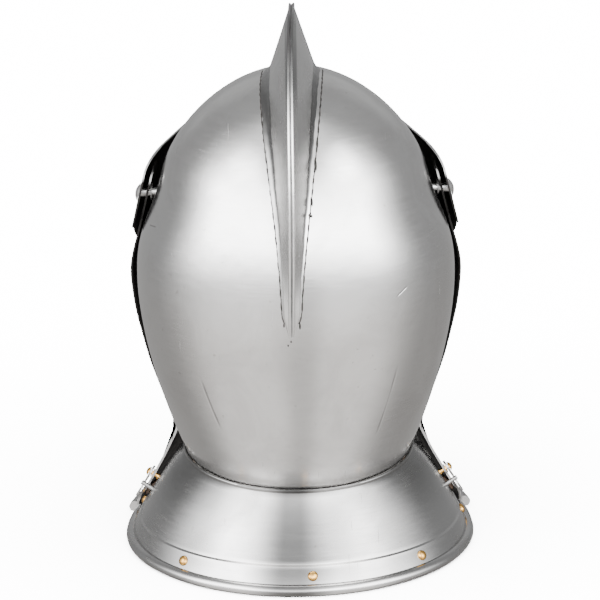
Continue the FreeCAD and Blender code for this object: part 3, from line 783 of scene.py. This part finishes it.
# ---------------------------------------------------------------- collars
# In millimetres. Each collar is given by rows of height, half width and depth from its plan's middle.
BEVOR_MID = 19.0  # y of the middle of the front collar's plan
REAR_REACH = 140.0  # depth of the rear collar's plan on the face side of its middle
FRONT_FROM = 14.0  # y that the front collar's depths start from
FULL_WIDE, FULL_DEEP = 1.9, 2.1  # powers of the front plan, where 2 would be an ellipse
REAR_EDGE, FRONT_EDGE, EDGE_STEP = -3.0, 10.0, 7.0  # y of the side edges
STEP_Z = 16.6  # the crease above the riveted border
BORDER_TOP = 15.6
ROLL_R = 3.9
ROLL_Z = 3.5
WALL = 1.7
# the rounded lip at the top, as growth of the plan and drop from the edge
LIP = ((-0.9, 0.45), (-0.45, 0.05), (0.1, 0.0), (0.42, 0.3), (0.5, 0.8), (0.35, 1.5), (0.1, 2.4))
FLARE_STEPS, BORDER_STEPS, ROLL_STEPS, ROLL_SEEN = 26, 8, 17, 14
CREASE_ROWS = 3
# The rows after these carry black paint, which also stands in for the shade inside the collar.
OUTER_ROWS = len(LIP) + FLARE_STEPS + CREASE_ROWS + BORDER_STEPS + ROLL_SEEN  # the rest is painted black
REAR_UPPER = through(
    ((17.4, 107.7, 92.3), (22, 104.9, 88.7), (30, 99.9, 82.6), (40, 93.4, 75.7), (50, 86.6, 70.2),
     (58, 80.4, 67.6), (63, 77.9, 68.6), (66, 78.5, 70.0), (69, 79.7, 71.2))
)
REAR_BORDER = through(((3.0, 115.1, 102.8), (6, 114.0, 101.2), (10, 112.3, 98.6), (15.6, 109.6, 94.6)))
FRONT_UPPER = through(
    ((17.4, 111.2, 97.6), (22, 108.4, 93.6), (30, 103.6, 87.0), (39, 98.6, 80.5), (48, 93.7, 74.0),
     (56, 89.9, 69.0), (62, 87.0, 65.5), (67, 85.3, 63.8), (72, 85.5, 64.2), (78, 87.7, 66.9))
)
FRONT_BORDER = through(((3.0, 118.3, 107.4), (6, 117.2, 105.7), (10, 115.6, 103.6), (15.6, 113.2, 100.0)))


def rear_plan(z, half, depth, share):
    """A point of the rear collar's plan; share runs from -1 to 1, from one front edge round the back."""
    edge = REAR_EDGE + EDGE_STEP * min(max((14.0 - z) / 5.0, 0.0), 1.0)
    end = math.acos((edge - SKULL_MID) / REAR_REACH)
    t = share * end
    reach = depth if math.cos(t) > 0 else REAR_REACH
    return Vector((half * math.sin(t), SKULL_MID + reach * math.cos(t), z)) * MM


def front_plan(z, half, depth, share):
    """The same for the front collar, whose plan is a little fuller at the sides."""
    edge = FRONT_EDGE - (FRONT_EDGE + 1.0) * min(max((22.0 - z) / 13.0, 0.0), 1.0)
    reach = BEVOR_MID - FRONT_FROM + depth
    end = math.acos(((BEVOR_MID - edge) / reach) ** (FULL_DEEP / 2))
    t = share * end
    x = half * signed_power(math.sin(t), 2 / FULL_WIDE)
    return Vector((x, BEVOR_MID - reach * math.cos(t) ** (2 / FULL_DEEP), z)) * MM


def rear_top(share):
    """The rear collar's top edge climbs from the nape towards its front edges."""
    y = rear_plan(60.0, *REAR_UPPER(60.0), share).y / MM
    return 58.0 + 10.5 * min(max((106.0 - y) / 109.0, 0.0), 1.0)


def front_top(share):
    """The front collar's top edge is level, whatever the share."""
    return 76.3


def collar_profile(upper, border, roll, top):
    """The collar's section from its lip down to the rolled rim and back up inside.

    roll holds the half width and the depth of the rolled rim's middle. The result is a list of rows
    of height, half width and depth.
    """
    rows = []
    half, depth = upper(top)
    for grow, drop in LIP:
        rows.append((top - drop, half + grow, depth + grow))
    for i in range(1, FLARE_STEPS + 1):
        z = lerp(top - LIP[-1][1], STEP_Z + 0.9, i / FLARE_STEPS)
        rows.append((z, *upper(z)))
    half, depth = upper(STEP_Z + 0.9)
    low_half, low_depth = border(BORDER_TOP)
    rows.append((STEP_Z + 0.35, half + 0.25, depth + 0.25))
    rows.append((STEP_Z - 0.35, low_half - 0.35, low_depth - 0.35))
    rows.append((BORDER_TOP, low_half, low_depth))
    for i in range(1, BORDER_STEPS + 1):
        z = lerp(BORDER_TOP, 6.8, i / BORDER_STEPS)
        rows.append((z, *border(z)))
    for i in range(ROLL_STEPS):
        a = math.radians(lerp(118.0, -175.0, i / (ROLL_STEPS - 1)))
        out = ROLL_R * math.cos(a)
        rows.append((max(ROLL_Z + ROLL_R * math.sin(a), 0.0), roll[0] + out, roll[1] + out))
    inside = [(lerp(5.5, 15.0, i / 6), border) for i in range(7)]
    inside += [(lerp(17.5, top - 1.0, i / 12), upper) for i in range(13)]
    for z, plate in inside:
        half, depth = plate(z)
        rows.append((z, half - WALL, depth - WALL))
    return rows


def gap_to_skull(plan, upper, top, share):
    """How far the collar's top edge would stand off the skull, beyond a close fit, in millimetres."""
    z = top - 1.0
    lip = plan(z, *upper(z), share)
    inward = Vector((-lip.x, SKULL_MID * MM - lip.y, 0.0)).normalized()
    hit = SKULL_SKIN.ray_cast(lip - inward * 10 * MM, inward)[0]
    off = (hit - lip).length / MM if (hit - lip).dot(inward) > 0 else 0.0
    return off - WALL - 0.4


def collar_rings(plan, upper, border, roll, top_at, hugs_skull, stations=150):
    """Sections from one side edge to the other, a little uneven by hand."""
    rings = []
    for i in range(stations + 1):
        share = lerp(-1.0, 1.0, i / stations)
        top = top_at(share)
        gap = gap_to_skull(plan, upper, top, share) if hugs_skull else 0.0
        ring = []
        for z, half, depth in collar_profile(upper, border, roll, top):
            near_top = min(max(1.0 - (top - z) / 22.0, 0.0), 1.0) ** 1.6
            hand = 0.10 * math.sin(share * 9.0 + z * 0.11) + 0.07 * math.sin(share * 23.0 + z * 0.05)
            hand -= gap * near_top
            ring.append(plan(z, half + hand, depth + hand, share))
        rings.append(ring)
    return rings


def make_collar(name, node, body, plan, upper, border, roll, top_at):
    """A flared collar plate with its riveted border and rolled rim."""
    rings = collar_rings(plan, upper, border, roll, top_at, hugs_skull=body == "skull")
    skins = [SHADED_COLLAR_STEEL, BLACK_INSIDE_AND_SHADE, SMALL_STEEL]
    collar = tube(name, rings, skins, lambda j: 0 if j < OUTER_ROWS else 1)
    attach(collar, body)
    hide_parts(node)
    return crisp(collar, 34.0)


def make_lining(name, node, body, plan, border, share_end):
    """A leather strip riveted under the border, with a cut edge that wanders a little."""
    rings = []
    for i in range(101):
        share = lerp(-share_end, share_end, i / 100)
        low = 7.9 + 0.25 * math.sin(share * 17.0) + 0.15 * math.sin(share * 41.0)
        high = 15.0 + 0.15 * math.sin(share * 13.0 + 1.0)
        section = ((high, 1.95), (low, 1.95), (low - 0.2, 2.4), (low, 3.4), (low + 1, 3.7))
        section += ((high - 1, 3.7), (high, 3.3))
        ring = []
        for z, inset in section:
            half, depth = border(z)
            ring.append(plan(z, half - inset, depth - inset, share))
        rings.append(ring)
    strip = tube(name, rings, [LEATHER])
    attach(strip, body)
    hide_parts(node)
    return strip


# ---------------------------------------------------------------- rivets
RIVET_R, RIVET_RISE = 3.25 * MM, 1.9 * MM
RIVET_SIDES = 28
# a rivet's section as shares of its radius and its rise; a rise below 0 is in millimetres
RIVET_SECTION = [(0.32, -2.6), (0.38, -2.0), (0.38, -0.1), (0.97, -0.06), (1.03, 0.06), (1.0, 0.20)]
RIVET_SECTION += [(math.cos(a), 0.20 + math.sin(a)) for a in (0.16, 0.34, 0.54, 0.76, 1.0, 1.26, 1.45)]


def clusters(node, gap=9 * MM):
    """Middles of a node's separate solids, at rest."""
    obj = NODES[node]
    found = []
    for v in obj.data.vertices:
        p = obj.matrix_world @ v.co
        for group in found:
            if (group[0] - p).length < gap:
                group.append(p)
                break
        else:
            found.append([p])
    return [sum(group, Vector()) / len(group) for group in found]


def rivet_heads(name, node, seat, body):
    """Hammered domed heads where a node's rivets sit, with their shanks through the plate."""
    skin = surface_of(seat)
    heart = Vector((0.0, 0.03, 0.04))
    bm = bmesh.new()
    for index, middle in enumerate(clusters(node)):
        out = (middle - heart).normalized()
        hit, normal = skin.ray_cast(middle + out * 20 * MM, -out)[:2]
        if normal.dot(out) < 0:
            normal = -normal
        turn = normal.to_track_quat("Z", "Y").to_matrix().to_4x4()
        place = Matrix.Translation(hit) @ turn @ Matrix.Rotation(index * 1.9, 4, "Z")
        rings = []
        for share, rise in RIVET_SECTION:
            z = rise * RIVET_RISE if rise > 0 else rise * MM
            ring = []
            for k in range(RIVET_SIDES):
                a = 2 * math.pi * k / RIVET_SIDES
                hand = 1 + 0.025 * math.sin(2 * a + index) + 0.015 * math.sin(3 * a + 2 * index)
                r = share * RIVET_R * hand
                ring.append(bm.verts.new(place @ Vector((r * math.cos(a), r * math.sin(a), z))))
            rings.append(ring)
        for a, b in zip(rings, rings[1:]):
            join_rings(bm, a, b)
        bm.faces.new(list(reversed(rings[0])))
        bm.faces.new(rings[-1])
    obj = to_object(bm, name)
    obj.data.materials.append(BRASS)
    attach(obj, body)
    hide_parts(node)
    return crisp(obj, 50.0)


# ---------------------------------------------------------------- lining of the skull
# Directions are a turn round the head, 0 at the back, and a rise over the horizon, both in degrees.
LINER_HEART = Vector((0.0, SKULL_MID, 195.0)) * MM  # the middle of the head
GORE = 30.0  # width of one quilted gore
ROWS_OF_STITCH = (8.0, 36.0, 62.0)
PAD_GAP = 4.6  # from the skull's inside to the pad, in millimetres
PAD_SEWN, PAD_PUFF, PAD_SKIN = 2.6, 5.2, 0.4  # filling at a stitch, more in a cell, and the cloth
PAD_HALF = 4.2  # from the pad's outer skin to its hem
POCKET_DEEP, POCKET_R, POCKET_FADE = 4.8, 17.0, 6.0  # the hollow behind a pivot nut


def heart_ray(turn, rise):
    a, e = math.radians(turn), math.radians(rise)
    return Vector((math.sin(a) * math.cos(e), math.cos(a) * math.cos(e), math.sin(e)))


def inside_reach(direction):
    """How far the skull's inside face is from the middle of the head."""
    hit = SKULL_SKIN.ray_cast(LINER_HEART, direction)[0]
    return (hit - LINER_HEART).length


def pad_hem(turn):
    """Lowest rise of the pad: deep at the back and sides, high over the face."""
    t = min(max((abs(turn) - 84.0) / 30.0, 0.0), 1.0)
    t = t * t * (3 - 2 * t)
    return lerp(-27.0, 50.0, t)


def puff(turn, rise):
    """How full the quilting is, from 0 on a row of stitches to 1 in the middle of a cell."""
    gore = abs((turn / GORE + 0.5) % 1.0 - 0.5) * GORE * math.cos(math.radians(rise))
    row = min(abs(rise - r) for r in ROWS_OF_STITCH)
    near = min(gore, row) / 6.5
    return 1 - math.exp(-near * near * 2.2) if near < 3 else 1.0


def pocket(point):
    """1 behind a pivot nut, where the pad is hollowed so that the nut can turn, and 0 away from it."""
    off = math.hypot(point.y - PIVOT.y, point.z - PIVOT.z) / MM
    return min(max((POCKET_R - off) / POCKET_FADE, 0.0), 1.0)


def pad_point(turn, rise, f, inner):
    """A point of the pad's inner or outer skin; f runs from 0 at the hem to 1 at the crown."""
    direction = heart_ray(turn, rise)
    hem = min(f / 0.07, 1.0)
    edge = math.sqrt(max(1 - (1 - hem) ** 2, 0.0))
    ripple = 0.35 * math.sin(turn * 0.9 + rise * 0.4) * math.sin(rise * 0.7)
    full = PAD_SEWN + PAD_PUFF * puff(turn, rise) + ripple
    reach = inside_reach(direction) - PAD_GAP * MM
    hollow = POCKET_DEEP * MM * pocket(LINER_HEART + direction * reach)
    middle = reach - PAD_HALF * MM
    if inner:
        reach = lerp(middle, reach - full * MM, edge) - PAD_SKIN * MM - hollow * lerp(1.0, 0.6, edge)
    else:
        reach = lerp(middle, reach, edge) - hollow
    return LINER_HEART + direction * reach


def make_pad():
    """The quilted linen pad, puffed between its rows of stitches."""
    around, up = 180, 56
    bm = bmesh.new()
    hems = []
    for inner, crown_gap in ((True, 11.0), (False, PAD_GAP)):
        grid = []
        for j in range(up):
            f = j / up
            ring = []
            for i in range(around):
                turn = -180.0 + 360.0 * i / around
                rise = lerp(pad_hem(turn), 89.0, f ** 0.9)
                ring.append(bm.verts.new(pad_point(turn, rise, f, inner)))
            grid.append(ring)
        pole = heart_ray(0, 90)
        top = bm.verts.new(LINER_HEART + pole * (inside_reach(pole) - crown_gap * MM))
        for a, b in zip(grid, grid[1:]):
            join_rings(bm, a, b)
        for i in range(around):
            bm.faces.new((grid[-1][i], grid[-1][(i + 1) % around], top))
        hems.append(grid[0])
    join_rings(bm, *hems)
    bmesh.ops.recalc_face_normals(bm, faces=bm.faces)
    pad = to_object(bm, "quilted_pad")
    pad.data.materials.append(LINEN)
    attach(pad, "skull")
    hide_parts("liner_pad")
    return pad


def stitches(name, spots, body, length=2.6 * MM, thick=0.42 * MM):
    """Short rounded threads, each from a place along a direction."""
    made = []
    for place, out, along in spots:
        made.append((place, out, along, (length / 2, thick / 2, thick / 2)))
    return blobs(name, made, THREAD, body, cuts=8)


def on_pad(turn, rise):
    """A place in a row of stitches, and the direction from the middle of the head to it."""
    direction = heart_ray(turn, rise)
    depth = (PAD_GAP + PAD_SEWN + PAD_SKIN) * MM
    return LINER_HEART + direction * (inside_reach(direction) - depth), direction


def make_quilt_stitches():
    """Stitches along the rows round the head and up the gores."""
    spots = []
    for rise in ROWS_OF_STITCH:
        step = 2.6 / math.cos(math.radians(rise))
        count = int(360 / step)
        for i in range(count):
            turn = -180 + i * step
            if rise < pad_hem(turn) + 4:
                continue
            at, direction = on_pad(turn, rise)
            spots.append((at, -direction, heart_ray(turn + 90, 0)))
    for gore in range(round(360 / GORE)):
        turn = -180 + gore * GORE
        rise = pad_hem(turn) + 4
        while rise < 76:
            at, direction = on_pad(turn, rise)
            spots.append((at, -direction, heart_ray(turn, rise + 3) - direction))
            rise += 2.6
    return stitches("quilt_stitches", spots, "skull")


def make_band():
    """The leather band that holds the pad, with a folded lower edge."""
    rings = []
    for i in range(91):
        turn = lerp(-97.0, 97.0, i / 90)
        low = -25.0 + 0.5 * math.sin(turn * 0.13)
        high = -14.0 + 0.3 * math.sin(turn * 0.21)
        halfway = lerp(high, low, 0.5)
        section = ((high, 1.4), (halfway, 1.4), (low, 1.4), (low - 0.5, 2.6))
        section += ((low, 4.2), (low + 1.5, 4.5), (halfway, 4.0), (high, 3.6))
        ring = []
        for rise, gap in section:
            direction = heart_ray(turn, rise)
            ring.append(LINER_HEART + direction * (inside_reach(direction) - gap * MM))
        rings.append(ring)
    band = tube("liner_leather_band", rings, [LEATHER])
    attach(band, "skull")
    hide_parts("liner_band")
    return band


def make_band_stitches():
    """One row of long stitches near the band's lower edge."""
    spots = []
    for i in range(74):
        turn = lerp(-95.0, 95.0, i / 73)
        direction = heart_ray(turn, -22.5)
        at = LINER_HEART + direction * (inside_reach(direction) - 4.55 * MM)
        spots.append((at, -direction, heart_ray(turn + 90, 0)))
    return stitches("band_stitches", spots, "skull", 3.0 * MM, 0.6 * MM)


# ---------------------------------------------------------------- build
make_comb()
weld_seams()
weld_marks()
REAR_COLLAR = make_collar(
    "rear_collar_sheet", "rear_collar_plate", "skull",
    rear_plan, REAR_UPPER, REAR_BORDER, (115.0, 102.5), rear_top,
)
FRONT_COLLAR = make_collar(
    "front_collar_sheet", "front_collar_plate", "bevor",
    front_plan, FRONT_UPPER, FRONT_BORDER, (118.2, 107.2), front_top,
)
make_lining("rear_leather_strip", "rear_collar_lining", "skull", rear_plan, REAR_BORDER, 0.92)
make_lining("front_leather_strip", "front_collar_lining", "bevor", front_plan, FRONT_BORDER, 0.92)
rivet_heads("rear_rivet_heads", "rear_collar_rivets", REAR_COLLAR, "skull")
rivet_heads("front_rivet_heads", "front_collar_rivets", FRONT_COLLAR, "bevor")
make_pad()
make_quilt_stitches()
make_band()
make_band_stitches()
